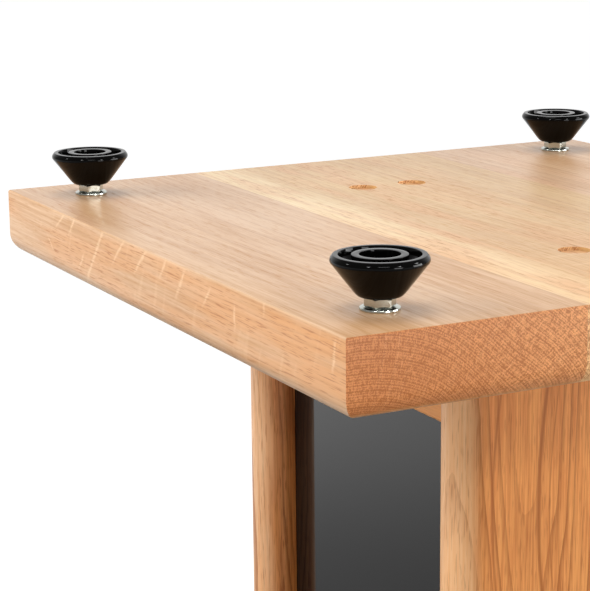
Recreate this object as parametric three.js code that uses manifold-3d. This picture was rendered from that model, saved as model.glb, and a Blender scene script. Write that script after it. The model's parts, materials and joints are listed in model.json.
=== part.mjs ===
// Speaker stand: two oak plates, each glued up from three boards, joined by a hollow column of two
// broad uprights, rails and glossy side panels. Four threaded cone feet carry the loudspeaker on the
// top plate and four more stand the base plate on the floor.
//
// Millimetres, +Z up. The origin is on the floor under the middle of the stand. The boards' grain and
// the rails run along Y, and the broad faces of the uprights look along -Y (front) and +Y (back).

import * as THREE from 'three';
import { mergeVertices } from 'three/addons/utils/BufferGeometryUtils.js';
import Module from 'manifold-3d';

// ---------------------------------------------------------------- driving dimensions

// plates
const plateWidth = 320;            // X, across the grain
const plateDepth = 330;            // Y, along the grain
const plateThickness = 30;
const outerBoardWidth = 96;        // the middle board takes what is left
const plateRound = 9;              // round-over of the edge that looks at the column
const plateEdgeBreak = 0.8;        // chamfer of the edge on the side of the feet

// column
const columnHeight = 500;          // from plate to plate
const uprightWidth = 144;          // X
const uprightThickness = 26;       // Y, with full-round edges
const uprightSpacing = 170;        // between the middles of the two uprights
const railHeight = 42;
const railThickness = 18;
const railProud = 1;               // the rail's face stands out from the panel's by this much
const railChamfer = 1.5;
const panelThickness = 5;
const panelRecess = 15;            // from the uprights' edges to the panel's face
const panelEdgeBreak = 0.4;
const grooveDepth = 6;             // takes the panel's edge and the rail's stub tenon
const grooveClearance = 0.3;

// screws through the plates into the uprights, and the plugs over them
const screwSpacing = 26.5;         // two screws to each upright
const screwShankRadius = 2.5;
const screwHeadRadius = 5;
const screwHeadHeight = 3.4;
const screwLength = 64;            // under the head
const screwTipLength = 6;
const driveSlotWidth = 1.2;
const driveSlotDepth = 1.4;
const plugRadius = 6.5;
const plugLength = 6.6;
const plugSink = 1.4;              // a plug's face lies this far under the plate's
const boreClearance = 0.3;

// cone feet
const footInset = 30;              // from both edges of the plate to the foot's axis
const cupRadius = 17.5;            // at its widest line
const cupHeight = 14.8;
const cupBandHeight = 2.7;         // the rounded band between the rim and the cone
const cupRimRadius = 16.8;
const cupNeckRadius = 9.2;         // small end of the cone
const cupFootRadius = 7.7;         // flat of the small end
const cupFootRound = 1.5;
const cupWall = 2.3;
const cupRingRadius = 9.95;        // outside of the inner ring
const cupRingWall = 2.65;
const cupHubThickness = 6;
const cupRibCount = 8;
const cupRibThickness = 1;
const cupRibDrop = 1.6;            // the ribs' tops lie this far under the rim
const studRadius = 3;              // M6
const studReach = 13;              // into the wood
const threadClearance = 0.2;
const chamfer = 0.5;
const nutHeight = 4.5;
const nutAcrossFlats = 10;
const flangeRadius = 7.3;
const flangeEdge = 0.8;
const flangeHeight = 1.9;
const seatClearance = 0.3;
const insertRadius = 5;
const insertLength = 14;

// facets
const cupFacets = 24;
const nutFacets = 18;
const boreFacets = 12;
const roundSteps = 4;
const bullnoseSteps = 8;

// ---------------------------------------------------------------- worked out from them

const nutStack = nutHeight + seatClearance;            // plate face to the cup's small end
const footHeight = nutStack + cupHeight;
const basePlateBottom = footHeight;
const columnBottom = basePlateBottom + plateThickness;
const columnTop = columnBottom + columnHeight;
const topPlateTop = columnTop + plateThickness;
const uprightPlace = uprightSpacing / 2;
const railLength = uprightSpacing - uprightThickness;  // clear width between the uprights
const panelFace = uprightWidth / 2 - panelRecess;
const panelMiddle = panelFace - panelThickness / 2;
const railFace = panelFace + railProud;
const boreRadius = insertRadius + boreClearance;
const counterbore = plugSink + plugLength + boreClearance + screwHeadHeight;
const screwPlaces = [-1, 1].flatMap((y) => [-1, 1].map((x) => ({
  x: x * screwSpacing / 2,
  y: y * uprightPlace,
})));
const footPlaces = [-1, 1].flatMap((y) => [-1, 1].map((x) => ({
  x: x * (plateWidth / 2 - footInset),
  y: y * (plateDepth / 2 - footInset),
})));

// ---------------------------------------------------------------- finishes

const finish = (color, roughness, metalness = 0) => ({ color, roughness, metalness });
const oak = finish(0xd9b088, 0.5);
const oakPlug = finish(0xb5763c, 0.55);
const blackPanel = finish(0x101010, 0.08);
const blackMoulding = finish(0x0c0c0c, 0.3);
const chrome = finish(0xd8d8d6, 0.12, 1);
const zincSteel = finish(0xa9a9a4, 0.35, 1);
const brass = finish(0xb08d4a, 0.35, 1);

// ---------------------------------------------------------------- shaping helpers

const wasm = await Module();
wasm.setup();

// a closed three.js geometry as a solid for joining and cutting
function solid(geometry) {
  const bare = geometry.clone();
  bare.deleteAttribute('normal');
  bare.deleteAttribute('uv');
  const merged = mergeVertices(bare, 1e-4);
  return new wasm.Manifold(new wasm.Mesh({
    numProp: 3,
    vertProperties: new Float32Array(merged.attributes.position.array),
    triVerts: new Uint32Array(merged.index.array),
  }));
}

function geometryOf(shape) {
  const mesh = shape.getMesh();
  const geometry = new THREE.BufferGeometry();
  geometry.setAttribute('position', new THREE.BufferAttribute(mesh.vertProperties, 3));
  geometry.setIndex(new THREE.BufferAttribute(mesh.triVerts, 1));
  geometry.computeVertexNormals();
  return geometry;
}

// a profile of [radius, height] pairs turned about Z
function turned(profile, facets) {
  const points = profile.map(([radius, height]) => new THREE.Vector2(radius, height));
  return new THREE.LatheGeometry(points, facets).rotateX(Math.PI / 2);
}

// a round cutter whose flats, not its corners, lie on the radius
function borer(radius, from, to) {
  const corner = radius / Math.cos(Math.PI / boreFacets);
  return solid(turned([[0, from], [corner, from], [corner, to], [0, to]], boreFacets));
}

// a block between two corners
function block(low, high) {
  const size = high.map((value, axis) => value - low[axis]);
  const middle = high.map((value, axis) => (value + low[axis]) / 2);
  return new THREE.BoxGeometry(...size).translate(...middle);
}

function rectangle(width, depth) {
  const shape = new THREE.Shape();
  shape.moveTo(-width / 2, -depth / 2);
  shape.lineTo(width / 2, -depth / 2);
  shape.lineTo(width / 2, depth / 2);
  shape.lineTo(-width / 2, depth / 2);
  shape.closePath();
  return shape;
}

// an outline raised along Z from 0 to height, both ends eased by size in steps
function eased(shape, height, size, steps) {
  return new THREE.ExtrudeGeometry(shape, {
    depth: height - 2 * size,
    bevelThickness: size,
    bevelSize: size,
    bevelOffset: -size,
    bevelSegments: steps,
  }).translate(0, 0, size);
}

const stand = new THREE.Group();

function add(parent, name, geometry, look) {
  const mesh = new THREE.Mesh(geometry, new THREE.MeshStandardMaterial(look));
  mesh.name = name;
  parent.add(mesh);
  return mesh;
}

// ---------------------------------------------------------------- plates

// One plate lies from its foot side, z = 0, to its column side, z = thickness: the column side's
// edges are rounded over all round and the foot side's are only broken.
function plateBlank() {
  const outline = rectangle(plateWidth, plateDepth);
  const below = 2 * plateRound;
  const rounded = eased(outline, plateThickness + below, plateRound, roundSteps);
  const broken = eased(outline, plateThickness + below, plateEdgeBreak, 1);
  return solid(rounded.translate(0, 0, -below)).intersect(solid(broken));
}

// the stepped hole of a plate screw: counterbore from the foot side, then the shank's hole
function screwHole() {
  const head = borer(plugRadius + boreClearance, -plateThickness, counterbore);
  return head.add(borer(screwShankRadius + boreClearance, 0, 2 * plateThickness));
}

function boards(prefix, z, turnedOver) {
  const insertHole = borer(boreRadius, -plateThickness, insertLength + boreClearance);
  let plate = plateBlank();
  for (const { x, y } of footPlaces) {
    plate = plate.subtract(insertHole.translate([x, y, 0]));
  }
  for (const { x, y } of screwPlaces) {
    plate = plate.subtract(screwHole().translate([x, y, 0]));
  }
  if (turnedOver) {
    plate = plate.rotate([0, 180, 0]);
  }
  const edge = plateWidth / 2;
  const joint = edge - outerBoardWidth;
  const spans = { left: [-edge, -joint], middle: [-joint, joint], right: [joint, edge] };
  for (const [side, [from, to]] of Object.entries(spans)) {
    const saw = block([from, -plateDepth, -2 * plateThickness], [to, plateDepth, 2 * plateThickness]);
    add(stand, `${prefix}_board_${side}`, geometryOf(plate.intersect(solid(saw))), oak).position.z = z;
  }
}

boards('base', basePlateBottom, false);
boards('top', topPlateTop, true);

// ---------------------------------------------------------------- column

// A full-round plank. Its inner face, at +Y here, has two grooves for the panels and the rails.
function uprightOutline() {
  const half = uprightThickness / 2;
  const flat = uprightWidth / 2 - half;
  const reach = panelThickness / 2 + grooveClearance / 2;
  const shape = new THREE.Shape();
  shape.absarc(flat, 0, half, -Math.PI / 2, Math.PI / 2, false);
  for (const side of [1, -1]) {
    const middle = side * panelMiddle;
    shape.lineTo(middle + reach, half);
    shape.lineTo(middle + reach, half - grooveDepth);
    shape.lineTo(middle - reach, half - grooveDepth);
    shape.lineTo(middle - reach, half);
  }
  shape.absarc(-flat, 0, half, Math.PI / 2, 3 * Math.PI / 2, false);
  shape.closePath();
  return shape;
}

function upright() {
  const plank = new THREE.ExtrudeGeometry(uprightOutline(), {
    depth: columnHeight,
    bevelEnabled: false,
    curveSegments: bullnoseSteps,
  });
  const pilotDepth = screwLength - (plateThickness - counterbore) + boreClearance;
  const pilot = borer(screwShankRadius + boreClearance, -1, pilotDepth);
  let shape = solid(plank);
  for (const side of [-1, 1]) {
    const place = side * screwSpacing / 2;
    shape = shape.subtract(pilot.translate([place, 0, 0]));
    shape = shape.subtract(pilot.rotate([180, 0, 0]).translate([place, 0, columnHeight]));
  }
  return geometryOf(shape);
}

const uprights = { front: -1, back: 1 };
for (const [name, side] of Object.entries(uprights)) {
  const geometry = upright();
  if (side > 0) {
    geometry.rotateZ(Math.PI);
  }
  add(stand, `upright_${name}`, geometry, oak).position.set(0, side * uprightPlace, columnBottom);
}

// A rail stands on the plate from z = 0: stub tenons in the uprights' grooves, a groove along its far
// edge for the panel and a chamfer on that edge of its face, at +X.
function rail() {
  const tenonReach = railLength / 2 + grooveDepth - grooveClearance;
  const inner = railFace - railThickness;
  const body = block([inner, -railLength / 2, 0], [railFace, railLength / 2, railHeight]);
  const tenon = block(
    [panelMiddle - panelThickness / 2, -tenonReach, 0],
    [panelMiddle + panelThickness / 2, tenonReach, railHeight - grooveDepth],
  );
  const groove = block(
    [panelMiddle - (panelThickness + grooveClearance) / 2, -plateDepth, railHeight - grooveDepth],
    [panelMiddle + (panelThickness + grooveClearance) / 2, plateDepth, railHeight + 1],
  );
  const corner = new THREE.Shape();
  corner.moveTo(railFace + 1, railHeight - railChamfer - 1);
  corner.lineTo(railFace + 1, railHeight + 1);
  corner.lineTo(railFace - railChamfer - 1, railHeight + 1);
  corner.closePath();
  const bevel = new THREE.ExtrudeGeometry(corner, { depth: 2 * plateDepth, bevelEnabled: false });
  bevel.rotateX(Math.PI / 2).translate(0, plateDepth, 0);
  return solid(body).add(solid(tenon)).subtract(solid(groove)).subtract(solid(bevel));
}

function sidePanel() {
  const width = railLength + 2 * (grooveDepth - grooveClearance);
  const length = columnHeight - 2 * (railHeight - grooveDepth + grooveClearance);
  const sheet = eased(rectangle(length, width), panelThickness, panelEdgeBreak, 1);
  return sheet.rotateY(Math.PI / 2).translate(panelMiddle - panelThickness / 2, 0, columnHeight / 2);
}

const columnSides = { left: -1, right: 1 };
for (const [name, side] of Object.entries(columnSides)) {
  const bottomRail = geometryOf(rail());
  const topRail = geometryOf(rail()).rotateX(Math.PI);
  const panel = sidePanel();
  for (const piece of [bottomRail, topRail, panel]) {
    if (side < 0) {
      piece.rotateZ(Math.PI);
    }
  }
  add(stand, `rail_bottom_${name}`, bottomRail, oak).position.z = columnBottom;
  add(stand, `rail_top_${name}`, topRail, oak).position.z = columnTop;
  add(stand, `side_panel_${name}`, panel, blackPanel).position.z = columnBottom;
}

// ---------------------------------------------------------------- screws and plugs

// The screw's tip points along +Z and its head's underside is at z = 0.
function screw() {
  const body = solid(turned([
    [0, -screwHeadHeight],
    [screwHeadRadius - chamfer, -screwHeadHeight],
    [screwHeadRadius, -screwHeadHeight + chamfer],
    [screwHeadRadius, 0],
    [screwShankRadius, 0],
    [screwShankRadius, screwLength - screwTipLength],
    [0, screwLength],
  ], boreFacets));
  const depth = driveSlotDepth - screwHeadHeight;
  const half = driveSlotWidth / 2;
  const arm = 0.6 * screwHeadRadius;
  const across = solid(block([-arm, -half, -2 * screwHeadHeight], [arm, half, depth]));
  const along = solid(block([-half, -arm, -2 * screwHeadHeight], [half, arm, depth]));
  return geometryOf(body.subtract(across).subtract(along));
}

function plug() {
  return turned([
    [0, 0],
    [plugRadius, 0],
    [plugRadius, plugLength - chamfer],
    [plugRadius - chamfer, plugLength],
    [0, plugLength],
  ], nutFacets);
}

screwPlaces.forEach(({ x, y }, index) => {
  const baseScrew = add(stand, `base_screw_${index + 1}`, screw(), zincSteel);
  baseScrew.position.set(x, y, basePlateBottom + counterbore);
  const topScrew = add(stand, `top_screw_${index + 1}`, screw().rotateX(Math.PI), zincSteel);
  topScrew.position.set(x, y, topPlateTop - counterbore);
  const cover = add(stand, `plug_${index + 1}`, plug().rotateX(Math.PI), oakPlug);
  cover.position.set(x, y, topPlateTop - plugSink);
});

// ---------------------------------------------------------------- cone feet

// A foot stands up from the plate's face, z = 0, with its wide rim outwards. The moulding is a cone
// shell with a rim, an inner ring round a deep well, a threaded hub at its small end, and ribs
// between ring and rim.
function cup() {
  const small = nutStack;
  const rim = small + cupHeight;
  const well = cupRingRadius - cupRingWall;
  const hub = small + cupHubThickness;
  const waist = rim - 2 * cupBandHeight;
  const slope = (cupRadius - cupNeckRadius) / (rim - cupBandHeight - small - cupFootRound);
  const inside = (height) => cupNeckRadius + slope * (height - small - cupFootRound) - cupWall;
  const floorHeight = hub + cupWall;
  const bore = studRadius + threadClearance;
  const shell = solid(turned([
    [bore, small],
    [cupFootRadius, small],
    [cupNeckRadius, small + cupFootRound],
    [cupRadius, rim - cupBandHeight],
    [cupRadius, rim - 0.45 * cupBandHeight],
    [cupRimRadius, rim],
    [cupRadius - 1.25 * cupWall, rim],
    [inside(waist), waist],
    [Math.max(inside(floorHeight), cupRingRadius + 0.5), floorHeight],
    [cupRingRadius, floorHeight],
    [cupRingRadius, rim],
    [well, rim],
    [well, hub],
    [bore, hub],
    [bore, small],
  ], cupFacets));
  const core = solid(turned([
    [0, small + cupFootRound],
    [cupNeckRadius - cupWall / 2, small + cupFootRound],
    [cupRadius - cupWall / 2, rim - cupBandHeight],
    [cupRadius - cupWall / 2, rim],
    [0, rim],
  ], cupFacets));
  const half = cupRibThickness / 2;
  const web = block([well + cupRingWall / 2, -half, hub], [cupRadius, half, rim - cupRibDrop]);
  const rib = solid(web).intersect(core);
  let moulding = shell;
  for (let index = 0; index < cupRibCount; index += 1) {
    moulding = moulding.add(rib.rotate([0, 0, index * 360 / cupRibCount]));
  }
  return geometryOf(moulding);
}

function stud() {
  const top = nutStack + cupHubThickness;
  const shoulder = studRadius - chamfer;
  return turned([[0, -studReach], [shoulder, -studReach], [studRadius, -studReach + chamfer],
    [studRadius, top - chamfer], [shoulder, top], [0, top]], boreFacets);
}

function lockNut() {
  const corner = nutAcrossFlats / 2 / Math.cos(Math.PI / 6);
  const hexagon = new THREE.CylinderGeometry(corner, corner, nutHeight, 6).rotateX(Math.PI / 2);
  hexagon.translate(0, 0, nutHeight / 2);
  const crown = turned([[0, 0], [corner, 0], [corner, nutHeight - chamfer],
    [nutAcrossFlats / 2, nutHeight], [0, nutHeight]], nutFacets);
  const flange = turned([[0, 0], [flangeRadius, 0], [flangeRadius, flangeEdge],
    [nutAcrossFlats / 2, flangeHeight], [0, flangeHeight]], nutFacets);
  const bored = borer(studRadius + threadClearance, -1, nutHeight + 1);
  return geometryOf(solid(hexagon).intersect(solid(crown)).add(solid(flange)).subtract(bored));
}

function insert() {
  const bore = (studRadius + threadClearance) / Math.cos(Math.PI / boreFacets);
  return turned([[bore, -insertLength], [insertRadius - chamfer, -insertLength],
    [insertRadius, -insertLength + chamfer], [insertRadius, 0], [bore, 0],
    [bore, -insertLength]], boreFacets);
}

const footPieces = {
  cup: [cup, blackMoulding],
  stud: [stud, zincSteel],
  lock_nut: [lockNut, chrome],
  insert: [insert, brass],
};

footPlaces.forEach(({ x, y }, index) => {
  for (const [level, z] of [['top', topPlateTop], ['base', basePlateBottom]]) {
    const foot = new THREE.Group();
    foot.position.set(x, y, z);
    if (level === 'base') {
      foot.rotation.x = Math.PI;
    }
    for (const [piece, [shape, look]] of Object.entries(footPieces)) {
      add(foot, `${level}_${piece}_${index + 1}`, shape(), look);
    }
    stand.add(foot);
  }
});

export default stand;
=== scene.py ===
# %% [markdown]
# # A loudspeaker stand in oak
#
# The stand is two thick oak plates on a hollow column. The construction comes ready made and to
# size: every piece is already in its place. This lesson gives those pieces their looks: it models
# the visible ones again with soft edges and fine rounds, and builds each finish from nodes.
# The first step loads the pieces, so that everything later can be placed by them.

# %% Load the frame
import json
import math

import bmesh
import bpy
from mathutils import Matrix, Vector

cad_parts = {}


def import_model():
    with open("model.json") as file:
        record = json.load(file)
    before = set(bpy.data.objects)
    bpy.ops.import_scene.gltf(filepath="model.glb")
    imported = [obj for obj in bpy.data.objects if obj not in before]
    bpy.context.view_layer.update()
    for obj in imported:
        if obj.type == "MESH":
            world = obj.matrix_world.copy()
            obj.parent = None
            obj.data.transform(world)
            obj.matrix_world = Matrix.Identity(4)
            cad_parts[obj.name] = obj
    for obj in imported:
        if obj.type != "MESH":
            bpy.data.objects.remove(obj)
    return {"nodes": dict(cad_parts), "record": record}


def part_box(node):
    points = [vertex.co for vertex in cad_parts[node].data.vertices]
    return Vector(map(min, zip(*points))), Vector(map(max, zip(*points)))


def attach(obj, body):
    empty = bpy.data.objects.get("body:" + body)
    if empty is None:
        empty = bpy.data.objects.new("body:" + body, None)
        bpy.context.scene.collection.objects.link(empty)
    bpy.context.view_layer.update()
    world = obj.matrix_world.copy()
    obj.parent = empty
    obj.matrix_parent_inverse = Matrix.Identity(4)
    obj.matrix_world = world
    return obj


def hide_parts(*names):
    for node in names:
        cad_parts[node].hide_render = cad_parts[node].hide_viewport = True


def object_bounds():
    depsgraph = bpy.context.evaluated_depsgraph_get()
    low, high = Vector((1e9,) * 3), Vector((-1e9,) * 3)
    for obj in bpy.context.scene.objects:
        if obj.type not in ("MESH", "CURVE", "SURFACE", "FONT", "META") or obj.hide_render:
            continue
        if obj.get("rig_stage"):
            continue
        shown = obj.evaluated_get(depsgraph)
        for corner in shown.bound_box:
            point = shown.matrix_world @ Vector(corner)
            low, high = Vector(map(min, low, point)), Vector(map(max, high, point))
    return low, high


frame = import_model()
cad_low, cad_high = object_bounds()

MM = 0.001
scene = bpy.context.scene
scene.view_settings.view_transform = "Standard"
print("pieces:", len(frame["nodes"]), "box:", [round(v / MM, 1) for v in cad_high - cad_low])

# %% [markdown]
# ## The camera
#
# The photograph was taken with a long lens from a little above the top plate, close to its near
# corner. A camera can be placed by its location and rotation, but a photographer thinks of the
# point in focus, the side the camera stands on and how far away it is, so those are the values
# here. The camera looks down the line from itself to the point, then tips by half a degree.

# %% Place the camera
FOCUS = Vector((-173.3, -155.1, 593.4)) * MM
DISTANCE = 636.5 * MM
AZIMUTH = math.radians(-27.22)
ELEVATION = math.radians(12.87)
ROLL = math.radians(-0.61)
LENS = 119.33

back = Vector((
    math.sin(AZIMUTH) * math.cos(ELEVATION),
    -math.cos(AZIMUTH) * math.cos(ELEVATION),
    math.sin(ELEVATION),
))
camera_data = bpy.data.cameras.new("camera")
camera_data.lens = LENS
camera_data.clip_start = 0.01
camera = bpy.data.objects.new("camera", camera_data)
scene.collection.objects.link(camera)
camera.location = FOCUS + back * DISTANCE
turn = back.to_track_quat("Z", "Y").to_matrix() @ Matrix.Rotation(ROLL, 3, "Z")
camera.rotation_euler = turn.to_euler()
scene.camera = camera
print("camera at", [round(v / MM) for v in camera.location])

# %% [markdown]
# ## Hands on the mesh
#
# Modelling by hand is a loop of three moves: go into edit mode on one piece, select the edges to
# work on, and call an operator. In a script the selection is made by a test on position, which
# stands for the click of a mouse. These helpers are that loop.


# %% Selecting
def select_only(*pieces):
    if bpy.context.object and bpy.context.object.mode != "OBJECT":
        bpy.ops.object.mode_set(mode="OBJECT")
    bpy.ops.object.select_all(action="DESELECT")
    for piece in pieces:
        piece.select_set(True)
        bpy.context.view_layer.objects.active = piece


def pick(piece, test):
    """In edit mode, selects the edges that pass a test on their two ends, in millimetres."""
    select_only(piece)
    bpy.ops.object.mode_set(mode="EDIT")
    bpy.context.tool_settings.mesh_select_mode = (False, True, False)
    bpy.ops.mesh.select_all(action="DESELECT")
    mesh = bmesh.from_edit_mesh(piece.data)
    found = 0
    for edge in mesh.edges:
        start, end = [corner.co / MM for corner in edge.verts]
        edge.select = test(start, end)
        found += edge.select
    mesh.select_flush_mode()
    bmesh.update_edit_mesh(piece.data)
    return found


def leave():
    bpy.ops.object.mode_set(mode="OBJECT")


def bevel(size, segments):
    bpy.ops.mesh.bevel(offset=size * MM, segments=segments, profile=0.5, affect="EDGES")


def soften(piece, test, size, segments=2):
    """Rounds the edges whose two ends both pass a test on one point."""
    if pick(piece, lambda start, end: test(start) and test(end)):
        bevel(size, segments)
    leave()


def smooth(piece, degrees=30):
    select_only(piece)
    bpy.ops.object.shade_smooth_by_angle(angle=math.radians(degrees))


# %% Starting shapes
def block(name, low, high):
    """A box between two corners, in millimetres, as the blank of a sawn piece."""
    low, high = Vector(low), Vector(high)
    select_only()
    bpy.ops.mesh.primitive_cube_add(size=1, location=(low + high) / 2 * MM)
    bpy.ops.transform.resize(value=(high - low) * MM)
    bpy.ops.object.transform_apply(location=True, rotation=True, scale=True)
    piece = bpy.context.object
    piece.name = piece.data.name = name
    return piece


def turned(name, profile, facets=64):
    """A turned shape round Z: a circle that is extruded ring by ring through a profile of
    (radius, height). A profile that comes back to its start is closed on itself, and any other
    has its two ends filled."""
    (radius, height), *rings = profile
    select_only()
    bpy.ops.mesh.primitive_circle_add(
        vertices=facets, radius=radius * MM, location=(0, 0, height * MM))
    piece = bpy.context.object
    piece.name = piece.data.name = name
    bpy.ops.object.transform_apply(location=True, rotation=True, scale=True)
    bpy.ops.object.mode_set(mode="EDIT")
    bpy.context.tool_settings.mesh_select_mode = (False, True, False)
    closed = profile[0] == profile[-1]
    bpy.ops.mesh.select_all(action="SELECT")
    if not closed:
        bpy.ops.mesh.duplicate()
        bpy.ops.mesh.edge_face_add()
        bpy.ops.mesh.select_all(action="DESELECT")
        mesh = bmesh.from_edit_mesh(piece.data)
        for edge in mesh.edges:
            edge.select = not edge.link_faces
        bmesh.update_edit_mesh(piece.data)
    for next_radius, next_height in rings:
        bpy.ops.mesh.extrude_edges_move(
            TRANSFORM_OT_translate={"value": (0, 0, (next_height - height) * MM)})
        scale = next_radius / radius
        bpy.ops.transform.resize(
            value=(scale, scale, 1), center_override=(0, 0, next_height * MM))
        radius, height = next_radius, next_height
    if not closed:
        bpy.ops.mesh.edge_face_add()
    bpy.ops.mesh.select_all(action="SELECT")
    bpy.ops.mesh.remove_doubles(threshold=0.001 * MM)
    bpy.ops.mesh.normals_make_consistent(inside=False)
    leave()
    return piece


# %% Joining, cutting and copying
def combine(piece, other, operation):
    """Cuts, joins or intersects with another piece, which is used up."""
    select_only(piece)
    modifier = piece.modifiers.new("combine", "BOOLEAN")
    modifier.operation = operation
    modifier.solver = "EXACT"
    modifier.object = other
    bpy.ops.object.modifier_apply(modifier=modifier.name)
    bpy.data.objects.remove(other)
    return piece


def moved(piece, matrix):
    """Moves the mesh itself, so that the object stays at the origin."""
    piece.data.transform(matrix)
    piece.data.update()
    return piece


def copy_of(piece, name):
    twin = piece.copy()
    twin.data = piece.data.copy()
    twin.name = twin.data.name = name
    scene.collection.objects.link(twin)
    return twin


def stand_in(piece, node, slot, finish):
    """The finished piece takes the place of a construction piece, on the same body."""
    piece.data.materials.clear()
    piece.data.materials.append(finish)
    for body, members in frame["record"]["behaviour"]["bodies"].items():
        if node in members:
            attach(piece, body)
    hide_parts(node)


def box_mm(node):
    low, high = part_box(node)
    return low / MM, high / MM


# %% [markdown]
# ## Writing shaders as sums
#
# A wood shader is mostly arithmetic: distances, rings, thresholds. Wiring dozens of Math nodes by
# hand is hard to read, so a small class wraps one output of a node. Adding or multiplying two of
# them adds the Math node, and the formula reads like a formula. One method adds any other node.


# %% The shader class
class Wire:
    """One output of a node. Sums with it add Math nodes."""

    def __init__(self, finish, socket):
        self.finish, self.socket = finish, socket

    def __getitem__(self, output):
        return Wire(self.finish, self.socket.node.outputs[output])

    def math(self, operation, *others):
        """Any Math node, with this value as its first input."""
        return self.finish.math(operation, self, *others)

    def __add__(self, other):
        return self.math("ADD", other)

    def __sub__(self, other):
        return self.math("SUBTRACT", other)

    def __rsub__(self, other):
        return self.finish.math("SUBTRACT", other, self)

    def __mul__(self, other):
        return self.math("MULTIPLY", other)

    def __truediv__(self, other):
        return self.math("DIVIDE", other)

    def __abs__(self):
        return self.math("ABSOLUTE")

    __radd__, __rmul__ = __add__, __mul__


class Finish:
    """A material under construction, with its Principled shader as surface."""

    def __init__(self, name, **plain):
        self.material = bpy.data.materials.new(name)
        self.material.use_nodes = True
        self.tree = self.material.node_tree
        self.surface = self.tree.nodes["Principled BSDF"]
        for socket, value in plain.items():
            self.surface.inputs[socket.replace("_", " ")].default_value = value

    def node(self, kind, settings=None, inputs=None, output=0):
        """Adds a node: its settings come first, then the values or wires of its inputs."""
        node = self.tree.nodes.new(kind)
        for name, value in (settings or {}).items():
            setattr(node, name, value)
        for name, value in (inputs or {}).items():
            if isinstance(value, Wire):
                self.tree.links.new(value.socket, node.inputs[name])
            else:
                node.inputs[name].default_value = value
        return Wire(self, node.outputs[output])

    def feed(self, socket, wire):
        self.tree.links.new(wire.socket, self.surface.inputs[socket])

    def math(self, operation, *values):
        return self.node("ShaderNodeMath", {"operation": operation}, dict(enumerate(values)))

    def fade(self, value, start, end):
        """0 where the value is at start, 1 where it is at end, and smooth between."""
        return self.node("ShaderNodeMapRange", {"interpolation_type": "SMOOTHSTEP"},
                         {"Value": value, "From Min": start, "From Max": end})

    def noise(self, place, detail=2.0, roughness=0.5):
        """Soft noise from 0 to 1 with features about one unit long."""
        return self.node("ShaderNodeTexNoise", {},
                         {"Vector": place, "Scale": 1.0, "Detail": detail, "Roughness": roughness})

    def mix(self, factor, low, high):
        """The colour low where the factor is 0, and high where it is 1."""
        return self.node("ShaderNodeMix", {"data_type": "RGBA"}, {0: factor, 6: low, 7: high}, 2)

    def point(self, x, y, z):
        return self.node("ShaderNodeCombineXYZ", {}, {0: x, 1: y, 2: z})

    def length(self, vector):
        return self.node("ShaderNodeVectorMath", {"operation": "LENGTH"}, {0: vector}, "Value")

    def here(self, scale=None):
        """The place on the piece in metres, multiplied by a scale for each axis."""
        place = self.node("ShaderNodeTexCoord", output="Object")
        return self.node("ShaderNodeMapping", {}, {0: place, "Scale": scale}) if scale else place

    def bump(self, height, size, strength=1.0):
        """Turns a height from 0 to 1 into a normal, with size as the depth in millimetres."""
        self.feed("Normal", self.node(
            "ShaderNodeBump", {}, {"Height": height, "Distance": size * MM, "Strength": strength}))


def srgb(red, green, blue):
    """A colour as a paint program gives it, from 0 to 255, in the linear light that shaders use."""
    def linear(value):
        value /= 255
        return value / 12.92 if value <= 0.04045 else ((value + 0.055) / 1.055) ** 2.4
    return (linear(red), linear(green), linear(blue), 1.0)


# %% [markdown]
# ## Oak, as a tree grows it
#
# The oak of this stand shows all its faces: dots in curved rows on the ends, fine dark dashes
# along the sides, pale ray flecks on the quarter-sawn edge and wide arches on the broad planks.
# They could be painted face by face, but they would not meet at the edges. Here the texture is
# solid, as the tree is: rings round a pith line that lies below or beside the board, pores as long
# thin cells, and rays as sheets that run out from the pith. Each board is a cut through it, so
# every face shows its own figure by itself. A satin lacquer lies on top.
#
# The cells follow the making of a board: how the tree grew, how the saw cut it, what each cut
# shows, and last its colours. A number in them is a length in millimetres, the place of a
# threshold in noise from 0 to 1, or the strength of one layer over the layers below.


# %% The growth of the tree
BOARD_TOP = box_mm("top_board_left")[1].z
PORE_ROW = 0.95
SWAY, SWAY_LENGTH = 12.0, 60.0


class Timber(Finish):
    """The finish of one oak piece, in millimetres along, across and deep into its grain."""

    def __init__(self, name, grain, pith, lean, ring, seed):
        super().__init__(name, IOR=1.5)
        self.grain, self.seed = grain, seed
        axes = self.node("ShaderNodeSeparateXYZ", {}, {0: self.here()})
        self.across, self.deep = [axes[axis] / MM for axis in "XYZ" if axis != grain]
        self.along = axes[grain] / MM
        # the pith wanders, which bends the rings along the board
        self.wander = self.noise(self.field(70, 260), detail=1.0) - 0.5
        self.ripple = self.noise(self.field(16, 60, 7.0)) - 0.5
        bend, buckle = self.wander * 14 + self.ripple * 3.5, self.wander * 9 - self.ripple * 2.5
        self.side = self.across - pith[0] - self.along * lean[0] + bend
        self.depth = self.deep - pith[1] - self.along * lean[1] + buckle
        self.radius = self.length(self.point(self.side, self.depth, 0.0))
        uneven = self.noise(self.point(self.radius / 9, 0.0, seed + 3.0), detail=1.0)
        years = self.radius / ring + uneven * 3.0
        self.early = 1 - self.fade(years.math("FRACT"), 0.0, 0.55)
        self.round_pith = self.side.math("ARCTAN2", self.depth) * 80
        thick_rings = self.noise(self.point(self.radius / (ring * 1.7), 5.0, seed), detail=0.0)
        self.strong = self.fade(thick_rings, 0.38, 0.6)

    def field(self, wide, long, offset=0.0):
        """A place for noise whose spots are wide across the grain and long along it."""
        return self.point(self.across / wide, self.deep / wide,
                          self.along / long + (self.seed + offset))


# %% The cut of the saw
def mark_cut(piece):
    """Stores on every face which way it looks, so that the finish can tell end from side."""
    cut = piece.data.attributes.new("cut", "FLOAT_VECTOR", "CORNER")
    for face in piece.data.polygons:
        for corner in face.loop_indices:
            cut.data[corner].vector = face.normal


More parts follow.
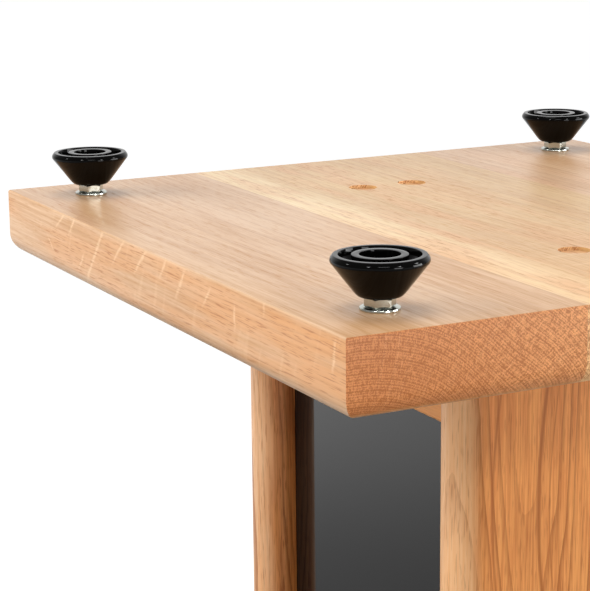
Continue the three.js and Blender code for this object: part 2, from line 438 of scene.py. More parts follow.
def read_cut(wood):
    """Finds the faces across the grain, those along it, those along a radius of the tree, which
    are quarter-sawn, and the upper edge that the sandpaper has broken, where a painted highlight
    goes."""
    cut = wood.node("ShaderNodeAttribute", {"attribute_name": "cut"}, output="Vector")
    looks = wood.node("ShaderNodeSeparateXYZ", {}, {0: cut})
    look_across, look_deep = [looks[axis] for axis in "XYZ" if axis != wood.grain]
    wood.ends = wood.fade(abs(looks[wood.grain]), 0.4, 0.8)
    wood.long_side = 1 - wood.ends
    wood.sanded = wood.fade(abs(look_across) * look_deep, 0.2, 0.4) * wood.long_side
    off_radius = abs(look_across * wood.depth - look_deep * wood.side) / wood.radius
    wood.quarter = wood.fade(off_radius, 0.8, 0.97) * wood.long_side


# %% Pores and rays
def pore_dashes(wood):
    """On the long faces a pore is a thin dash, in the soft wood that starts a ring."""
    dashes = wood.noise(wood.field(0.55, 9, 2.0), detail=1.0)
    return wood.fade(dashes + wood.early * 0.06, 0.56, 0.72) * wood.long_side


def end_weave(wood):
    """On the ends the pores are rows of dots, and the rays break every row into a weave."""
    slow = wood.along / 9 + wood.seed
    rows = abs((wood.radius / PORE_ROW + wood.ripple * 1.2).math("FRACT") - 0.5) * 2
    broken = wood.noise(wood.point(wood.round_pith / 0.5, wood.radius / 2.0, slow), detail=1.0)
    grit = wood.noise(wood.point(wood.across / 0.36, wood.deep / 0.36, slow), detail=1.0)
    dots = rows * 0.24 + broken * 0.8 + grit + wood.early * 0.16
    return wood.fade(dots, 0.86, 1.26) * wood.ends


def end_rays(wood):
    """A ray is a thin sheet that runs out from the pith, so an end shows it as a pale line."""
    place = wood.point(wood.round_pith / 1.1, wood.along / 9, wood.radius / 60 + wood.seed)
    return wood.fade(wood.noise(place, detail=1.0), 0.56, 0.72) * wood.ends


# %% Flecks and veins
def ray_flecks(wood, flecks, blotches):
    """A ray that the saw has grazed shows as a pale ribbon across the grain."""
    frayed = (wood.noise(wood.field(2.4, 2.4, 13.0)) - 0.5) * 2.6
    down = BOARD_TOP - wood.deep
    ribbons = 0.0
    for spot, slope, upper, lower, half in flecks:
        off = abs(wood.along - spot - down * slope + frayed)
        ribbon = 1 - wood.fade(off, half * 0.1, half * 1.9)
        starts, stops = wood.fade(down, upper - 3, upper + 2), wood.fade(down, lower - 5, lower + 3)
        ribbons = ribbons + ribbon * starts * (1 - stops)
    slanted = (wood.along + wood.deep * 0.4) / 4.5 + wood.seed
    blotch = wood.noise(wood.point(slanted, wood.deep / 26, wood.across / 26), detail=1.5)
    return (wood.fade(blotch, 0.58, 0.74) * blotches + ribbons * 0.7) * wood.quarter


def dark_veins(wood, veins):
    """The darkest lines of a plain-sawn plank, which sway as the tree did."""
    sway = ((BOARD_TOP - wood.along) / SWAY_LENGTH).math("SINE") * SWAY
    lines = 0.0
    for spot, half, strength in veins:
        off = abs(wood.across - spot + sway + wood.ripple * 2.0)
        lines = lines + (1 - wood.fade(off, half * 0.2, half * 1.6)) * strength
    return lines * wood.long_side


# %% The colour of the long faces
RAY_PALE = srgb(240, 178, 122)
FLECK_PALE = srgb(248, 214, 170)
# a warm colour for random patches, also used for a painted shade at the near end
BLUSH_AND_SHADE = srgb(220, 152, 88)
# the colour of the painted highlight on the upper edge break
EDGE_HIGHLIGHT_PALE = srgb(255, 232, 196)


def two_tones(wood, tone, pale, tan, sapwood_and_lit_edge):
    """The two tones of the heartwood, and a cream band along one side: the young wood under the
    bark on the top's middle board, painted light on the left edge of the uprights.
    """
    colour = wood.mix(tone, pale, tan)
    if not sapwood_and_lit_edge:
        return colour
    inside, outside, cream = sapwood_and_lit_edge
    border = wood.across + wood.wander * 8 + wood.ripple * 6
    lined = wood.mix(tone * 0.45, srgb(*cream), pale)
    return wood.mix(wood.fade(border, outside, inside), colour, lined)


def warmed_and_shaded(wood, colour, blush):
    """Quarter-sawn wood is warmer in patches, and a painted shade makes it warmer towards the end
    that is nearest.
    """
    # painted shade: the quarter-sawn face turns warmer towards its near end
    painted_near_shade = wood.fade(wood.along, 60, -165)
    return wood.mix(blush * 0.4 + painted_near_shade * wood.quarter * 0.3, colour, BLUSH_AND_SHADE)


# %% The oak finish
def oak(name, grain, pith, lean=(0.0, 0.0), ring=2.4, seed=0.0, pale=(222, 184, 146),
        tan=(198, 150, 103), end=(215, 140, 81), end_lit_pale=(237, 168, 108), end_dark=(158, 82, 20),
        dark=(160, 92, 46), figure=0.2, streaks=0.35, flecks=(), veins=(), blotches=0.4,
        sapwood_and_lit_edge=None, edge_highlight_strength=0.0, pores=0.16):
    """grain is the axis the fibres run along. pith is where the tree's centre line passes, in
    millimetres on the other two axes, and lean how far it leans from the grain. figure is the
    strength of the ring lines on the long faces and streaks that of the fibres. Every fleck is
    (place along the grain, lean, upper end, lower end, half width), with the ends in millimetres
    under the top plate's face. Every vein is a dark line along the grain: (place across it, half
    width, strength). sapwood_and_lit_edge is (where it starts to fade, where it ends, colour) of a
    cream band: the young wood under the bark on the top's middle board, and painted light on the
    uprights' left edge. edge_highlight_strength is how strongly a painted highlight lightens the
    upper edge, and pores how dark the dashes are."""
    pale, tan, end, end_lit_pale, end_dark, dark = [
        srgb(*colour) for colour in (pale, tan, end, end_lit_pale, end_dark, dark)]
    wood = Timber(name, grain, pith, lean, ring, seed)
    read_cut(wood)
    pore, weave, ray = pore_dashes(wood), end_weave(wood), end_rays(wood)

    # two tones that drift slowly, with the fibres in them
    drift = wood.noise(wood.field(26, 160, 5.0), detail=3.0)
    fibre = wood.noise(wood.field(0.9, 45, 2.0), detail=3.0, roughness=0.65)
    band = wood.noise(wood.field(4, 75, 6.0))
    tone = wood.fade((drift + band) * (0.5 - streaks / 2) + fibre * streaks, 0.38, 0.62)
    blush = wood.fade(wood.noise(wood.field(11, 80, 9.0)), 0.4, 0.62) * wood.quarter
    colour = warmed_and_shaded(wood, two_tones(wood, tone, pale, tan, sapwood_and_lit_edge), blush)

    # the lines of the rings, and the veins
    line = wood.early * (wood.strong * 0.75 + 0.25) * wood.long_side * figure
    colour = wood.mix(line, colour, dark)
    if veins:
        colour = wood.mix(dark_veins(wood, veins), colour, dark)

    # the ends, then what lies on top: rays, pores, flecks and a painted highlight on the upper edge
    # painted light: the end grain turns paler towards the right, a painted light gradient
    end_lit_gradient = wood.mix(wood.fade(wood.across, -150, -50), end, end_lit_pale)
    colour = wood.mix(wood.ends, colour, wood.mix(tone * 0.25, end_lit_gradient, end_dark))
    colour = wood.mix(ray * 0.28, colour, RAY_PALE)
    colour = wood.mix(weave * 0.8, colour, end_dark)
    colour = wood.mix(ray_flecks(wood, flecks, blotches) * 0.6, colour, FLECK_PALE)
    colour = wood.mix(pore * (blush * 0.45 + pores), colour, dark)
    # painted highlight: the upper edge break is painted paler, as if it caught the light
    colour = wood.mix(wood.sanded * edge_highlight_strength, colour, EDGE_HIGHLIGHT_PALE)
    wood.feed("Base Color", colour)
    wood.feed("Roughness", (pore + weave) * 0.15 + fibre * 0.1 + 0.27)
    wood.bump(1 - (pore + weave) * 0.7 - fibre * 0.15, 0.012)
    return wood.material


# %% [markdown]
# ## The plates
#
# Each plate is glued up from three boards. The router has rounded the edge that looks at the
# column, the edge on the side of the feet is only broken with sandpaper, and the corners of the
# plate stay crisp. The blank is a cube, and the rounds are edge bevels, which is what a router
# bit does. Only edges on the outside of the plate are rounded, so the glue joints stay tight.
# The holes for screws, plugs and threaded inserts are drilled with a boolean.

# %% Sizes of the plates
PLATE_ROUND = 9.0
EDGE_BREAK = 0.8
PLUG_HOLE = 6.62
PLUG_HOLE_DEPTH = 11.7
INSERT_HOLE = 5.3
INSERT_HOLE_DEPTH = 14.3
NEAR = 0.05

plate_low, plate_high = box_mm("top_board_left")[0], box_mm("top_board_right")[1]
half_width, half_depth = plate_high.x, plate_high.y


def places_of(*nodes):
    """The middles of some pieces, seen from above."""
    return [((low + high) / 2).xy for low, high in map(box_mm, nodes)]


plug_places = places_of(*[f"plug_{index}" for index in range(1, 5)])
foot_places = places_of(*[f"top_cup_{index}" for index in range(1, 5)])
print("plate", plate_high - plate_low, "feet at", foot_places[0])


# %% Round the outer edges
def on_outside(point):
    return abs(abs(point.x) - half_width) < NEAR or abs(abs(point.y) - half_depth) < NEAR


def round_outer(piece, height, size, segments):
    """Rounds the plate's outer edges at one height. The edge along a glue joint stays sharp: both
    its ends lie on the outside of the plate, but its middle doesn't."""
    def outer(start, end):
        level = abs(start.z - height) < NEAR and abs(end.z - height) < NEAR
        return level and all(map(on_outside, (start, end, (start + end) / 2)))

    pick(piece, outer)
    bevel(size, segments)
    leave()


# %% One board
def drill(piece, place, radius, face, depth):
    """Drills from a face of the plate, with depth positive upwards and negative downwards."""
    start, stop = sorted((face - math.copysign(2, depth), face + depth))
    select_only()
    bpy.ops.mesh.primitive_cylinder_add(
        vertices=64, radius=radius * MM, depth=(stop - start) * MM,
        location=(place[0] * MM, place[1] * MM, (start + stop) / 2 * MM))
    combine(piece, bpy.context.object, "DIFFERENCE")


def board(level, side, finish):
    node = f"{level}_board_{side}"
    low, high = box_mm(node)
    piece = block(f"oak_{node}", low, high)
    column_z, foot_z = (low.z, high.z) if level == "top" else (high.z, low.z)
    inward = math.copysign(1, column_z - foot_z)
    round_outer(piece, column_z, PLATE_ROUND, 12)
    round_outer(piece, foot_z, EDGE_BREAK, 3)
    for places, radius, depth in ((foot_places, INSERT_HOLE, INSERT_HOLE_DEPTH),
                                  (plug_places, PLUG_HOLE, PLUG_HOLE_DEPTH)):
        for place in places:
            if low.x < place[0] < high.x:
                drill(piece, place, radius, foot_z, inward * depth)
    smooth(piece, 25)
    mark_cut(piece)
    stand_in(piece, node, "oak_board", finish)
    return piece


# %% Saw the six boards
# the ray flecks on the near edge of the top, from the far corner to the near one
EDGE_FLECKS = (
    (91, 1.5, 0, 8, 0.9), (79, 0.9, 0, 9, 0.8), (129, -1.2, 14, 20, 0.7),
    (46, 0.83, 0, 26, 1.1), (58, 0.8, 15, 22, 0.8), (23, 1.1, 1, 12, 0.9),
    (0, 1.1, 1, 12, 1.0), (-20, 0.8, 1, 9, 0.9), (-38, 0.7, 2, 14, 1.0),
    (-64, 0.9, 5, 12, 0.8), (-81, 0.0, 7, 15, 0.6), (-105, 0.0, 1, 5, 0.7),
    (-158, 0.15, 3, 14, 0.7),
)
TOP_Z = plate_high.z
BASE_Z = box_mm("base_board_left")[0].z
top_oaks = {
    "left": oak("oak_top_left", "Y", (-159, TOP_Z - 86), ring=2.4, seed=1.0, flecks=EDGE_FLECKS,
                blotches=0.2, edge_highlight_strength=0.1),
    "middle": oak("oak_top_middle", "Y", (150, TOP_Z - 70), lean=(0.03, 0.04), ring=3.2, seed=4.0,
                  pale=(220, 182, 127), tan=(200, 154, 96), end_lit_pale=(255, 212, 152),
                  sapwood_and_lit_edge=(-54, -34, (248, 220, 172))),
    "right": oak("oak_top_right", "Y", (190, TOP_Z + 60), lean=(0.02, 0.0), ring=2.8, seed=9.0),
}
base_oaks = {
    "left": oak("oak_base_left", "Y", (-170, BASE_Z + 110), ring=2.6, seed=12.0),
    "middle": oak("oak_base_middle", "Y", (-20, BASE_Z + 120), lean=(0.02, 0.03), seed=15.0),
    "right": oak("oak_base_right", "Y", (150, BASE_Z - 70), ring=2.5, seed=18.0),
}
for side in ("left", "middle", "right"):
    piece = board("top", side, top_oaks[side])
    board("base", side, base_oaks[side])
    print(piece.name, len(piece.data.polygons), "faces")

# %% [markdown]
# ## The column
#
# Two broad planks with full-round edges stand on the base, and black panels close the gaps between
# them. A full-round edge is the bevel of both long edges by half the plank's thickness. Two grooves
# on the inner face hold the panels and the ends of the rails.

# %% The uprights
GROOVE_DEPTH = 6.0
GROOVE_WIDTH = 5.3
BULLNOSE_SEGMENTS = 16


def upright(side, finish):
    node = f"upright_{side}"
    low, high = box_mm(node)
    piece = block(f"oak_{node}", low, high)
    pick(piece, lambda start, end: abs(start.z - end.z) > 1)
    bevel((high.y - low.y) / 2, BULLNOSE_SEGMENTS)
    bpy.ops.mesh.select_all(action="SELECT")
    bpy.ops.mesh.remove_doubles(threshold=0.01 * MM)
    leave()
    inner = high.y if side == "front" else low.y
    inward = 1 if side == "front" else -1
    for panel in ("side_panel_left", "side_panel_right"):
        panel_low, panel_high = box_mm(panel)
        middle = (panel_low.x + panel_high.x) / 2
        ends = sorted((inner - inward * GROOVE_DEPTH, inner + inward * 2))
        groove = block("groove", (middle - GROOVE_WIDTH / 2, ends[0], low.z - 5),
                       (middle + GROOVE_WIDTH / 2, ends[1], high.z + 5))
        combine(piece, groove, "DIFFERENCE")
    smooth(piece, 25)
    mark_cut(piece)
    stand_in(piece, node, "oak_upright", finish)
    return piece


front_y, back_y = box_mm("upright_front")[0].y, box_mm("upright_back")[1].y
# painted light: both planks get a cream band on their left edge, the side the lamps light most
PLANK = dict(pale=(230, 156, 84), tan=(206, 126, 60), end=(216, 140, 84), dark=(154, 80, 14),
             figure=0.75, streaks=0.75, blotches=0.0, pores=0.4,
             sapwood_and_lit_edge=(-69, -61, (238, 188, 138)))
# painted shade: the back plank is a darker copy of the front one, for its place deep in the column
SHADED_PLANK = dict(PLANK, pale=(228, 149, 76), tan=(192, 110, 46),
                    sapwood_and_lit_edge=(-71, -65, (228, 182, 138)))
# the dark lines of the front plank: place across it just under the plate, half width, strength
FRONT_VEINS = ((-66.7, 0.5, 0.5), (-46.5, 0.6, 0.6), (-25.0, 0.9, 0.8), (-19.8, 0.3, 0.5),
               (-16.2, 0.3, 0.4), (8, 0.7, 0.6), (21, 0.5, 0.5), (43, 0.8, 0.5))
upright("front", oak("oak_upright_front", "Z", (-40, front_y + 40), lean=(0.0, -0.04), ring=3.4,
                     seed=21.0, veins=FRONT_VEINS, **PLANK))
upright("back", oak("oak_upright_back", "Z", (-30, back_y - 60), lean=(-0.02, 0.04), ring=3.6,
                    seed=25.0, **SHADED_PLANK))
print("uprights reach", [round(v, 1) for v in (front_y, back_y)])

# %% [markdown]
# ## The rails
#
# A rail bridges the gap above and below each panel, with a stub tenon at both ends and a groove for
# the panel's edge. Its shape is already right in the construction, so a copy is taken, its loose
# triangles are merged back into whole faces, and the edges of the face that shows get the small
# round of a sanding block.


# %% The rails
def rail(node, finish):
    piece = copy_of(frame["nodes"][node], f"oak_{node}")
    piece.parent = None
    for key in list(piece.keys()):
        if key.startswith("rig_"):
            del piece[key]
    select_only(piece)
    bpy.ops.object.mode_set(mode="EDIT")
    bpy.ops.mesh.select_all(action="SELECT")
    bpy.ops.mesh.remove_doubles(threshold=0.01 * MM)
    bpy.ops.mesh.dissolve_limited(angle_limit=math.radians(1))
    leave()
    low, high = box_mm(node)
    outer = max(abs(low.x), abs(high.x))
    soften(piece, lambda point: abs(abs(point.x) - outer) < 0.05, 0.3)
    smooth(piece, 30)
    mark_cut(piece)
    stand_in(piece, node, "oak_rail", finish)


for index, node in enumerate(("rail_top_left", "rail_top_right", "rail_bottom_left",
                              "rail_bottom_right")):
    low, high = box_mm(node)
    rail(node, oak(f"oak_{node}", "Y", (low.x - 70, high.z + 30), ring=2.6, seed=31.0 + index,
                   pale=(236, 166, 97), tan=(218, 142, 75)))
print("rails done")

# %% [markdown]
# ## The panels
#
# The panels are polished black acrylic. The flat sheet from the construction is right as it is, so
# only its finish is made: nearly black, mirror smooth, with a breath of polishing haze, so that it
# shows the floor and the plank beside it as a real one does.


# %% The panel finish
def acrylic():
    black = Finish("black_acrylic", IOR=1.49)
    haze = black.noise(black.here((60, 60, 25)), detail=4.0)
    dust = black.fade(black.noise(black.here((900, 900, 900)), detail=1.0), 0.7, 0.8)
    black.feed("Base Color", black.mix(dust * 0.15, srgb(8, 8, 8), srgb(60, 58, 55)))
    black.feed("Roughness", haze * 0.03 + dust * 0.1 + 0.015)
    black.bump(haze, 0.01, 0.3)
    return black.material


def repaint(node, finish):
    mesh = frame["nodes"][node].data
    mesh.materials.clear()
    mesh.materials.append(finish)


panel_finish = acrylic()
repaint("side_panel_left", panel_finish)
repaint("side_panel_right", panel_finish)
print("panels:", panel_finish.name)

# %% [markdown]
# ## Plugs
#
# Wooden plugs hide the plate's screws. They are cut from darker wood and sunk a little under the
# face, so a thin shadow shows round each one. A plug is a turned disc with its edge just eased.


# %% The plugs
plug_low, plug_high = box_mm("plug_1")
PLUG_RADIUS = (plug_high.x - plug_low.x) / 2
plug_length = plug_high.z - plug_low.z
plug_blank = turned("plug_blank", [
    (PLUG_RADIUS - 0.5, 0), (PLUG_RADIUS, 0.5), (PLUG_RADIUS, plug_length - 0.12),
    (PLUG_RADIUS - 0.12, plug_length)], 64)
smooth(plug_blank, 25)
for index, place in enumerate(plug_places, 1):
    plug = copy_of(plug_blank, f"oak_plug_{index}")
    moved(plug, Matrix.Translation(Vector((place[0], place[1], plug_low.z)) * MM))
    mark_cut(plug)
    stand_in(plug, f"plug_{index}", "plug_oak", oak(
        f"oak_plug_{index}", "Y", (place[0] + 9, plug_high.z - 20 + index), ring=1.8,
        seed=40.0 + index, pale=(232, 184, 132), tan=(206, 148, 94), figure=0.3))
bpy.data.objects.remove(plug_blank)
print("plug radius", round(PLUG_RADIUS, 2), "mm")

# %% [markdown]
# ## The cone feet
#
# Each foot is a glossy black moulding on a threaded stud, locked by a flanged nut. The moulding is
# a cone shell with a flat rim, a deep well, an inner ring and ribs between them. It is turned ring
# by ring, with the round bead under its rim in the profile, and its sharp edges are then beveled,
# because small rounds catch the lamps. The well's floor slopes: a level one would mirror the white
# background. The foot is made once, standing at the origin, and copied to its eight places.

# %% Sizes of the moulding
NUT_STACK = 4.8
RIM = NUT_STACK + 14.8
BAND = RIM - 2.7
NECK = NUT_STACK + 1.5
HUB = NUT_STACK + 6
WELL_FLOOR = NUT_STACK + 8.3
SMALL_END_RADIUS, NECK_RADIUS = 7.7, 9.2
CONE_RADIUS, CUP_RADIUS = 17.35, 17.5
RIM_OUTER, RIM_INNER = 16.45, 14.6
RING_OUTER, RING_INNER = 9.95, 7.3
STUD_HOLE = 3.2
BEAD_ROUND, BEAD_HEIGHT = 2.3, 17.5
RIB_COUNT, RIB_THICKNESS, RIB_DROP = 8, 1.0, 4.2


# %% The moulding
def bead():
    """The round under the rim, from its widest place up to where the rim begins."""
    middle = CUP_RADIUS - BEAD_ROUND
    for degrees in range(0, 49, 6):
        lean = math.radians(degrees)
        yield middle + BEAD_ROUND * math.cos(lean), BEAD_HEIGHT + BEAD_ROUND * math.sin(lean)


def cup_shape():
    cup = turned("cup", [
        (STUD_HOLE, NUT_STACK), (SMALL_END_RADIUS, NUT_STACK), (NECK_RADIUS, NECK),
        (CONE_RADIUS, BAND), *bead(), (RIM_OUTER, RIM), (RIM_INNER, RIM), (14.3, RIM - 2.4),
        (12.2, RIM - 4.8), (RING_OUTER, WELL_FLOOR), (RING_OUTER, RIM), (RING_INNER, RIM),
        (RING_INNER, HUB), (STUD_HOLE, HUB), (STUD_HOLE, NUT_STACK)], 96)

    def ring(radius, height):
        def test(point):
            return abs(point.xy.length - radius) < 0.02 and abs(point.z - height) < 0.02
        return test

    soften(cup, ring(SMALL_END_RADIUS, NUT_STACK), 0.8, 4)
    soften(cup, ring(NECK_RADIUS, NECK), 0.8, 4)
    soften(cup, ring(CONE_RADIUS, BAND), 0.2, 3)
    for radius in (RIM_OUTER, RIM_INNER, RING_OUTER, RING_INNER):
        soften(cup, ring(radius, RIM), 0.12, 3)
    return cup


# %% The ribs
def add_ribs(cup):
    """Each rib is a thin block, cut to the space between the ring and the cone's wall."""
    inside, low = RING_INNER + 0.3, HUB + 0.5
    core = turned("core", [(inside, low), (9.0, low), (16.0, BAND), (16.0, RIM), (inside, RIM),
                           (inside, low)], 96)
    half = RIB_THICKNESS / 2
    for index in range(RIB_COUNT):
        rib = block("rib", (8.0, -half, HUB), (CUP_RADIUS, half, RIM - RIB_DROP))
        moved(rib, Matrix.Rotation(index * 2 * math.pi / RIB_COUNT, 4, "Z"))
        combine(rib, copy_of(core, "core_copy"), "INTERSECT")
        combine(cup, rib, "UNION")
    bpy.data.objects.remove(core)
    smooth(cup, 30)
    return cup


cup_blank = add_ribs(cup_shape())
print("cup:", len(cup_blank.data.polygons), "faces")


# %% [markdown]
# The nut is a hexagon with its top corners turned off at thirty degrees and a thin round flange. A
# hexagon prism is intersected with a chamfered disc, which gives the curved chamfer of a real nut,
# and joined to the turned flange.

# %% The nut
NUT_HEIGHT = 4.5
FLATS = 10.0


def nut_shape():
    corner = FLATS / 2 / math.cos(math.pi / 6)
    select_only()
    bpy.ops.mesh.primitive_cylinder_add(
        vertices=6, radius=corner * MM, depth=NUT_HEIGHT * MM, location=(0, 0, NUT_HEIGHT / 2 * MM))
    bpy.ops.object.transform_apply(location=True, rotation=True, scale=True)
    nut = bpy.context.object
    nut.name = nut.data.name = "nut"
    pick(nut, lambda start, end: abs(start.z - end.z) > 1)
    bevel(0.3, 3)
    leave()
    crown = turned("crown", [(corner + 1, -1), (corner + 1, NUT_HEIGHT - 1),
                             (FLATS / 2 - 0.15, NUT_HEIGHT)], 96)
    combine(nut, crown, "INTERSECT")
    flange = turned("flange", [
        (7.0, 0), (7.3, 0.25), (7.3, 0.7), (7.15, 1.0), (6.85, 1.2), (6.4, 1.35), (5.3, 1.7),
        (4.9, 1.9)], 96)
    combine(nut, flange, "UNION")
    hole = turned("hole", [(STUD_HOLE, -1), (STUD_HOLE, NUT_HEIGHT + 1)], 48)
    combine(nut, hole, "DIFFERENCE")
    smooth(nut, 28)
    return nut


nut_blank = nut_shape()
print("nut:", len(nut_blank.data.polygons), "faces")


# %% [markdown]
# The stud's thread shows when a foot is screwed out. A thread is one small zigzag that climbs by
# one pitch per turn, so a short profile goes through the Screw modifier, and the ends of the helix
# are sliced flat and closed. The profile starts as a plane that is merged to one point.

# %% One turn of thread
PITCH = 1.0
THREAD_RADIUS, THREAD_DEPTH = 3.0, 0.55
STUD_LOW, STUD_HIGH = -13.0, 10.8
SPARE_TURNS = 2


def thread_profile():
    select_only()
    start = (THREAD_RADIUS * MM, 0, (STUD_LOW - SPARE_TURNS * PITCH) * MM)
    bpy.ops.mesh.primitive_plane_add(size=1 * MM, location=start)
    stud = bpy.context.object
    stud.name = stud.data.name = "stud"
    bpy.ops.object.transform_apply(location=True, rotation=True, scale=True)
    bpy.ops.object.mode_set(mode="EDIT")
    bpy.context.tool_settings.mesh_select_mode = (True, False, False)
    bpy.ops.mesh.select_all(action="SELECT")
    bpy.ops.mesh.merge(type="CENTER")
    for out, up in ((0, 0.12), (-THREAD_DEPTH, 0.34), (0, 0.16), (THREAD_DEPTH, 0.38)):
        bpy.ops.mesh.extrude_vertices_move(
            TRANSFORM_OT_translate={"value": (out * MM, 0, up * MM)})
    leave()
    return stud


# %% The stud
def stud_shape():
    stud = thread_profile()
    screw = stud.modifiers.new("thread", "SCREW")
    screw.axis = "Z"
    screw.screw_offset = PITCH * MM
    screw.iterations = round((STUD_HIGH - STUD_LOW) / PITCH) + 2 * SPARE_TURNS
    screw.steps = screw.render_steps = 24
    screw.use_merge_vertices = True
    screw.merge_threshold = 0.01 * MM
    select_only(stud)
    bpy.ops.object.modifier_apply(modifier=screw.name)
    bpy.ops.object.mode_set(mode="EDIT")
    bpy.ops.mesh.select_all(action="SELECT")
    bpy.ops.mesh.remove_doubles(threshold=0.01 * MM)
    for height, way in ((STUD_LOW, -1), (STUD_HIGH, 1)):
        bpy.ops.mesh.select_all(action="SELECT")
        bpy.ops.mesh.bisect(plane_co=(0, 0, height * MM), plane_no=(0, 0, way),
                            use_fill=True, clear_outer=True, threshold=0.001 * MM)
    bpy.ops.mesh.select_all(action="SELECT")
    bpy.ops.mesh.normals_make_consistent(inside=False)
    leave()
    smooth(stud, 35)
    return stud


stud_blank = stud_shape()
print("stud:", len(stud_blank.data.polygons), "faces")

# %% [markdown]
# ## Finishes of the feet
#
# The moulding is injection moulded plastic off a polished tool: deep black and glossy. The nut is
# bright chrome, the stud and the screws are zinc plated, and the inserts are turned brass. A real
# surface is never even, so each one gets a little noise in its roughness and a fine bump.


# %% Plastic and metal
def speckled(name, colour, other, metallic, rough, spread, scale, depth, bend=1.5):
    """A finish with one colour that drifts to another, and roughness that drifts with it. bend is
    how strongly the surface bends light, which sets its gloss."""
    finish = Finish(name, Metallic=metallic, IOR=bend)
    coarse = finish.noise(finish.here((scale,) * 3), detail=3.0)
    fine = finish.noise(finish.here((scale * 9,) * 3))
    finish.feed("Base Color", finish.mix(coarse, srgb(*colour), srgb(*other)))
    finish.feed("Roughness", coarse * spread + fine * spread * 0.5 + rough)
    finish.bump(fine, depth)
    return finish.material


foot_finishes = {
    "cup": speckled("black_moulding", (2, 2, 2), (5, 4, 3), 0.0, 0.04, 0.03, 180, 0.002, 1.22),
    "lock_nut": speckled("chrome", (206, 208, 200), (186, 190, 180), 1.0, 0.17, 0.06, 220, 0.003),
    "stud": speckled("zinc_plate", (196, 198, 198), (170, 172, 170), 1.0, 0.25, 0.15, 400, 0.01),
}
zinc = foot_finishes["stud"]
brass = speckled("turned_brass", (200, 164, 92), (176, 138, 70), 1.0, 0.25, 0.15, 300, 0.01)
for index in range(1, 5):
    repaint(f"top_screw_{index}", zinc)
    repaint(f"top_insert_{index}", brass)
    repaint(f"base_insert_{index}", brass)
print("finishes:", sorted(foot_finishes))

# %% Set out the eight feet
foot_blanks = {"cup": cup_blank, "lock_nut": nut_blank, "stud": stud_blank}
foot_slots = {"cup": "black_moulding", "lock_nut": "polished_nut", "stud": "zinc_steel"}
NUT_TURNS = (12, 41, 23, 52)


def foot(level, index, place):
    face = TOP_Z if level == "top" else BASE_Z
    stands = Matrix.Identity(4) if level == "top" else Matrix.Rotation(math.pi, 4, "X")
    for part, blank in foot_blanks.items():
        piece = copy_of(blank, f"{level}_{part}_{index}_fine")
        turn = NUT_TURNS[index - 1] if part == "lock_nut" else 0
        there = Matrix.Translation(Vector((place[0], place[1], face)) * MM)
        moved(piece, there @ stands @ Matrix.Rotation(math.radians(turn), 4, "Z"))
        stand_in(piece, f"{level}_{part}_{index}", foot_slots[part], foot_finishes[part])


for index, place in enumerate(foot_places, 1):
    foot("top", index, place)
    foot("base", index, place)
for blank in foot_blanks.values():
    bpy.data.objects.remove(blank)
print("feet set out:", 2 * len(foot_places), "with the nuts turned by", NUT_TURNS)

# %% [markdown]
# ## Screws under the base
#
# Looked at from below, the base shows the heads of the screws that hold the column, deep in their
# counterbores. A head is a turned disc with its cross recess cut out.


# %% The base screws
SHANK, HEAD, HEAD_HEIGHT, TIP = 2.5, 5.0, 3.4, 6


def screw_shape():
    low, high = box_mm("base_screw_1")
    length = high.z - low.z
    screw = turned("screw", [
        (4.2, 0), (4.8, 0.4), (HEAD, 1.0), (HEAD, HEAD_HEIGHT), (SHANK, HEAD_HEIGHT),
        (SHANK, length - TIP), (0.2, length)], 48)
    soften(screw, lambda point: abs(point.z) < 0.02, 0.15, 2)
    for wide, deep in ((3.0, 0.6), (0.6, 3.0)):
        slot = block("slot", (-wide, -deep, -1), (wide, deep, 1.6))
        combine(screw, slot, "DIFFERENCE")
    smooth(screw, 30)
    return screw


screw_blank = screw_shape()
for index in range(1, 5):
    low, high = box_mm(f"base_screw_{index}")
    middle = (low + high) / 2
    piece = copy_of(screw_blank, f"base_screw_{index}_fine")
    moved(piece, Matrix.Translation(Vector((middle.x, middle.y, low.z)) * MM))
    stand_in(piece, f"base_screw_{index}", "zinc_steel", zinc)
bpy.data.objects.remove(screw_blank)
print("screws:", 4)

# %% [markdown]
# ## The studio
#
# The photograph has a pure white background and soft light from all round, with a few small bright
# lamps that show as dots in the black rims. The floor is pale and keeps the stand's shadow. The
# camera sees the world as white, and so do reflections of what lies behind the stand. Its light is
# much weaker than that, so that the lamps shape the stand and no pale surface turns white.

# %% Floor and world
FLOOR_SIZE = 30.0
FLOOR_COLOUR = 0.36
FLOOR_LIFT = 0.95
WORLD_LIGHT = 0.16
ROOM_DARK = 0.3


def floor():
    """A pale floor that keeps the stand's shadow and rises to white further away."""
    select_only()
    bpy.ops.mesh.primitive_plane_add(size=FLOOR_SIZE, location=(0, 0, cad_low.z - 0.0002))
    plane = bpy.context.object
    plane.name = "floor"
    pale = Finish("studio_floor", Roughness=0.9, Specular_IOR_Level=0.0)
    pale.surface.inputs["Base Color"].default_value = (FLOOR_COLOUR,) * 3 + (1,)
    path = pale.node("ShaderNodeLightPath")
    distance = pale.length(pale.here())
    seen = path["Is Camera Ray"] * (pale.fade(distance, 0.6, 1.15) * 0.65 + 0.35)
    mirrored = path["Is Glossy Ray"] * pale.fade(distance, 1.0, 1.95)
    glow = pale.node("ShaderNodeEmission", {}, {
        "Color": (1, 1, 1, 1), "Strength": (seen + mirrored) * FLOOR_LIFT})
    both = pale.node("ShaderNodeAddShader", {}, {0: Wire(pale, pale.surface.outputs[0]), 1: glow})
    pale.tree.links.new(both.socket, pale.tree.nodes["Material Output"].inputs["Surface"])
    plane.data.materials.append(pale.material)
    plane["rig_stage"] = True


class Sky(Finish):
    """The world's nodes, written in the same way as a finish."""

    def __init__(self):
        world = bpy.data.worlds.new("studio")
        world.use_nodes = True
        scene.world = world
        self.tree = world.node_tree
        self.surface = self.tree.nodes["Background"]
        self.surface.inputs["Color"].default_value = (1, 1, 1, 1)


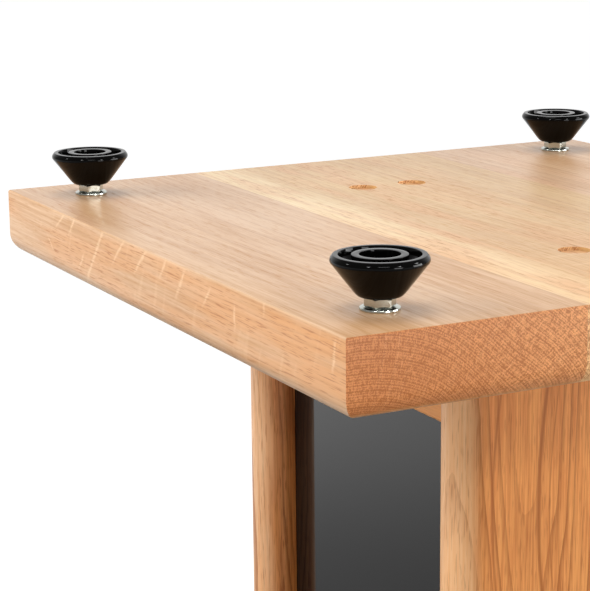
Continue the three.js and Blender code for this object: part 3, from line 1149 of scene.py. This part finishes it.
def world():
    """White to the camera. Reflections see a white backdrop behind the stand and a dim room on
    the camera's side, and everything is lit evenly from all round."""
    sky = Sky()
    path = sky.node("ShaderNodeLightPath")
    way = sky.node("ShaderNodeTexCoord", output="Generated")
    behind = sky.node("ShaderNodeVectorMath", {"operation": "DOT_PRODUCT"},
                      {0: way, 1: (-back.x, -back.y, 0.0)}, "Value")
    room = sky.fade(behind, 0.4, 0.85) * (1 - ROOM_DARK) + ROOM_DARK
    glossy, camera_sees = path["Is Glossy Ray"], path["Is Camera Ray"]
    light = (1 - glossy) * WORLD_LIGHT + glossy * room
    sky.feed("Strength", (1 - camera_sees) * light + camera_sees)


floor()
world()
print("world at", WORLD_LIGHT)

# %% [markdown]
# The lamps stand in a ring, with one more overhead. Each is placed by the side it stands on, seen
# from the camera, because a round rim shows a lamp halfway between the camera's side and the
# lamp's. The largest is a wall of light that doesn't show in reflections: seen from across the
# stand it would lie on the flat top as a white sheen.

# %% Lamps
LAMP_DISTANCE = 1.6


def lamp(name, side, height, size, power):
    """side is in degrees to the right of the camera, height in degrees above the horizon."""
    data = bpy.data.lights.new(name, "AREA")
    data.shape = "RECTANGLE"
    data.size, data.size_y = size
    data.energy = power
    light = bpy.data.objects.new(name, data)
    scene.collection.objects.link(light)
    azimuth, elevation = AZIMUTH + math.radians(side), math.radians(height)
    way = Vector((math.sin(azimuth) * math.cos(elevation),
                  -math.cos(azimuth) * math.cos(elevation), math.sin(elevation)))
    light.location = Vector((0, 0, 0.5)) + way * LAMP_DISTANCE
    light.rotation_euler = way.to_track_quat("Z", "Y").to_euler()
    return light


left_wall = lamp("left_wall", -88, 18, (1.4, 1.2), 24)
left_wall.visible_glossy = False
lamp("overhead", -150, 80, (1.0, 1.0), 11)
lamp("low_right", 86, 8, (0.8, 0.6), 16)
lamp("low_front", 34, 10, (0.5, 0.35), 5.5)
lamp("far_left", -83, 34, (0.15, 0.15), 1.2)
lamp("near_left", -29, 34, (0.13, 0.13), 2.6)
lamp("front", 4, 36, (0.55, 0.08), 2.6)
lamp("near_right", 40, 34, (0.13, 0.13), 2.6)
lamp("far_right", 92, 34, (0.2, 0.2), 3)

# %% [markdown]
# ## Finish
#
# The last step prints the size of the dressed stand, to set beside the construction's size
# printed at the start, since looks must not change size.

# %% Print the dressed size
low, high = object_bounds()
print("dressed size:", [round(v / MM, 1) for v in high - low])
